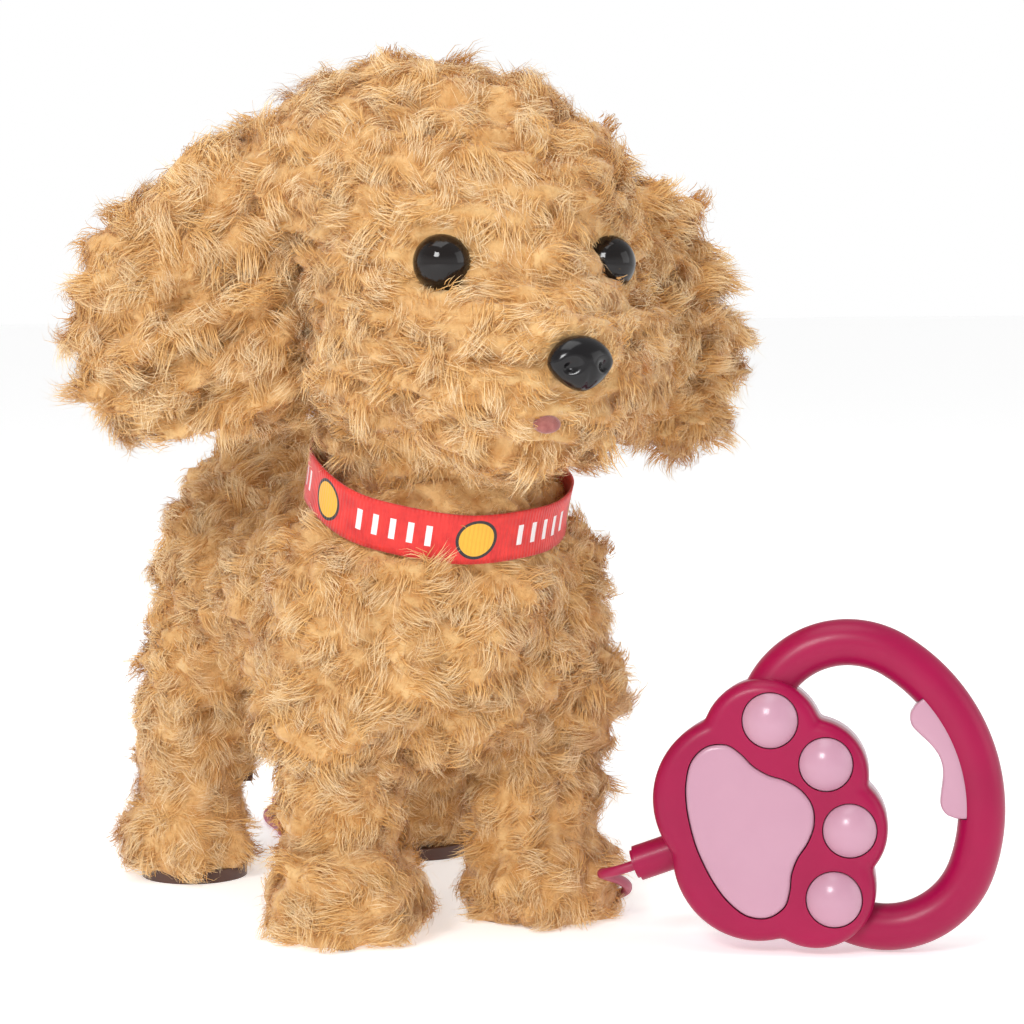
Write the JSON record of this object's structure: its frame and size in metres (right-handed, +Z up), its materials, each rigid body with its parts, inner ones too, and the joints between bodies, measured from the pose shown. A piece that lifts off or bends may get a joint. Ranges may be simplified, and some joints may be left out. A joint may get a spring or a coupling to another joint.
{
  "type": "interactive plush pet",
  "caption": "Curly walking plush dog with a ribbon collar, worked by a wired paw-shaped remote with an oval hand ring.",
  "frame": {"origin": "centre of the footprint of the dog and its remote together, on the floor they stand on, measured without the cord", "axes": "+Z up, the dog faces -Y, its left side and the remote are towards +X"},
  "size_m": [0.2455, 0.2952, 0.2571],
  "materials": {
    "plush_fur": "curly apricot plush with short soft pile",
    "sole_plastic": "satin dark brown moulded feet",
    "case_plastic": "off-white moulded plastic",
    "gear_plastic": "natural white acetal",
    "steel": "bright steel",
    "motor_can": "zinc plated can",
    "circuit_board": "green solder mask",
    "speaker_black": "black",
    "collar_ribbon": "red ribbed ribbon with plain printed spots",
    "eye_black": "glossy black with a brown rim",
    "nose_black": "glossy black",
    "tongue_felt": "dusty rose felt",
    "remote_magenta": "satin-gloss magenta moulding",
    "remote_pink": "pearly pale pink moulding",
    "switch_rubber": "grey silicone",
    "battery": "plain dark sleeve",
    "cord_plastic": "soft magenta cord jacket",
    "tie_white": "white twist tie"
  },
  "bodies": {
    "root": {"case_left": "case_plastic", "case_right": "case_plastic", "case_screws": "steel", "motor": "motor_can", "speaker": "speaker_black", "main_board": "circuit_board", "front_hip_axle": "steel", "rear_hip_axle": "steel", "idler_axle": "steel", "neck_post": "case_plastic", "neck_axle": "steel", "torso_fur": "plush_fur", "collar": "collar_ribbon", "body_gland": "speaker_black", "paw_front_cover": "remote_magenta", "paw_back_cover": "remote_pink", "ring_front_half": "remote_magenta", "ring_back_half": "remote_magenta", "remote_board": "circuit_board", "switch_mat": "switch_rubber", "battery_cells": "battery", "battery_contacts": "steel", "remote_gland": "remote_magenta", "remote_screws": "steel", "cord_remote_run": "cord_plastic", "cord_coil": "cord_plastic", "cord_body_run": "cord_plastic", "cord_tie": "tie_white"},
    "motor_pinion": {"motor_pinion": "gear_plastic"},
    "idler_gear": {"idler_gear": "gear_plastic"},
    "crank_gear": {"crank_gear": "gear_plastic"},
    "leg_front_left": {"leg_frame_front_left": "sole_plastic", "leg_fur_front_left": "plush_fur"},
    "leg_front_right": {"leg_frame_front_right": "sole_plastic", "leg_fur_front_right": "plush_fur"},
    "leg_rear_left": {"leg_frame_rear_left": "sole_plastic", "leg_fur_rear_left": "plush_fur"},
    "leg_rear_right": {"leg_frame_rear_right": "sole_plastic", "leg_fur_rear_right": "plush_fur"},
    "link_rod_left": {"link_rod_left": "case_plastic"},
    "link_rod_right": {"link_rod_right": "case_plastic"},
    "tail": {"tail_lever": "case_plastic", "tail_fur": "plush_fur"},
    "head": {"skull_front": "case_plastic", "skull_back": "case_plastic", "head_fur": "plush_fur", "ear_left": "plush_fur", "ear_right": "plush_fur", "eye_left": "eye_black", "eye_right": "eye_black", "eye_washers": "case_plastic", "nose": "nose_black", "tongue": "tongue_felt"},
    "battery_door": {"battery_door": "remote_pink"},
    "pad_button": {"pad_button": "remote_pink"},
    "toe_button_1": {"toe_button_1": "remote_pink"},
    "toe_button_2": {"toe_button_2": "remote_pink"},
    "toe_button_3": {"toe_button_3": "remote_pink"},
    "toe_button_4": {"toe_button_4": "remote_pink"},
    "trigger": {"trigger": "remote_pink"}
  },
  "joints": [
    {"name": "leg_front_left_swing", "type": "hinge", "parent": "root", "child": "leg_front_left", "pos_m": [-0.006, -0.02, 0.078], "axis": [1, 0, 0], "range_deg": [-8, 8]},
    {"name": "leg_rear_left_swing", "type": "hinge", "parent": "root", "child": "leg_rear_left", "pos_m": [-0.006, 0.079, 0.078], "axis": [1, 0, 0], "range_deg": [-8, 8]},
    {"name": "leg_front_right_swing", "type": "hinge", "parent": "root", "child": "leg_front_right", "pos_m": [-0.006, -0.02, 0.078], "axis": [1, 0, 0], "range_deg": [-8, 8]},
    {"name": "leg_rear_right_swing", "type": "hinge", "parent": "root", "child": "leg_rear_right", "pos_m": [-0.006, 0.079, 0.078], "axis": [1, 0, 0], "range_deg": [-8, 8]},
    {"name": "link_rod_left_pivot", "type": "hinge", "parent": "leg_front_left", "child": "link_rod_left", "pos_m": [-0.006, -0.02, 0.092], "axis": [1, 0, 0], "range_deg": [-8, 8]},
    {"name": "link_rod_right_pivot", "type": "hinge", "parent": "leg_front_right", "child": "link_rod_right", "pos_m": [-0.006, -0.02, 0.092], "axis": [1, 0, 0], "range_deg": [-8, 8]},
    {"name": "crank_gear_spin", "type": "hinge", "parent": "root", "child": "crank_gear", "pos_m": [-0.006, 0.029, 0.092], "axis": [1, 0, 0], "continuous": true},
    {"name": "idler_gear_spin", "type": "hinge", "parent": "root", "child": "idler_gear", "pos_m": [-0.006, 0.00363, 0.08277], "axis": [1, 0, 0], "continuous": true},
    {"name": "motor_pinion_spin", "type": "hinge", "parent": "root", "child": "motor_pinion", "pos_m": [-0.006, -0.00698, 0.09541], "axis": [1, 0, 0], "continuous": true},
    {"name": "head_nod", "type": "hinge", "parent": "root", "child": "head", "pos_m": [-0.006, -0.024, 0.158], "axis": [1, 0, 0], "range_deg": [-6, 8]},
    {"name": "tail_wag", "type": "hinge", "parent": "root", "child": "tail", "pos_m": [-0.006, 0.098, 0.109], "axis": [0, 0, 1], "range_deg": [-18, 18]},
    {"name": "battery_door_slide", "type": "slide", "parent": "root", "child": "battery_door", "axis": [0.5716, 0.8163, -0.0837], "range_m": [0, 0.02]},
    {"name": "pad_button_press", "type": "slide", "parent": "root", "child": "pad_button", "axis": [0.5716, 0.8163, -0.0837], "range_m": [0, 0.0012], "stiffness_N_per_m": 300},
    {"name": "toe_button_1_press", "type": "slide", "parent": "root", "child": "toe_button_1", "axis": [0.5716, 0.8163, -0.0837], "range_m": [0, 0.0012], "stiffness_N_per_m": 300},
    {"name": "toe_button_2_press", "type": "slide", "parent": "root", "child": "toe_button_2", "axis": [0.5716, 0.8163, -0.0837], "range_m": [0, 0.0012], "stiffness_N_per_m": 300},
    {"name": "toe_button_3_press", "type": "slide", "parent": "root", "child": "toe_button_3", "axis": [0.5716, 0.8163, -0.0837], "range_m": [0, 0.0012], "stiffness_N_per_m": 300},
    {"name": "toe_button_4_press", "type": "slide", "parent": "root", "child": "toe_button_4", "axis": [0.5716, 0.8163, -0.0837], "range_m": [0, 0.0012], "stiffness_N_per_m": 300},
    {"name": "trigger_pull", "type": "slide", "parent": "root", "child": "trigger", "axis": [0.7845, -0.5137, 0.3474], "range_m": [0, 0.0025], "stiffness_N_per_m": 200}
  ],
  "couplings": [
    {"joint": "leg_rear_left_swing", "follows": "leg_front_left_swing", "ratio": 1},
    {"joint": "leg_front_right_swing", "follows": "leg_front_left_swing", "ratio": -1},
    {"joint": "leg_rear_right_swing", "follows": "leg_front_left_swing", "ratio": -1},
    {"joint": "link_rod_left_pivot", "follows": "leg_front_left_swing", "ratio": -1},
    {"joint": "link_rod_right_pivot", "follows": "leg_front_left_swing", "ratio": 1},
    {"joint": "idler_gear_spin", "follows": "crank_gear_spin", "ratio": -1.25},
    {"joint": "motor_pinion_spin", "follows": "crank_gear_spin", "ratio": 3.3333}
  ]
}
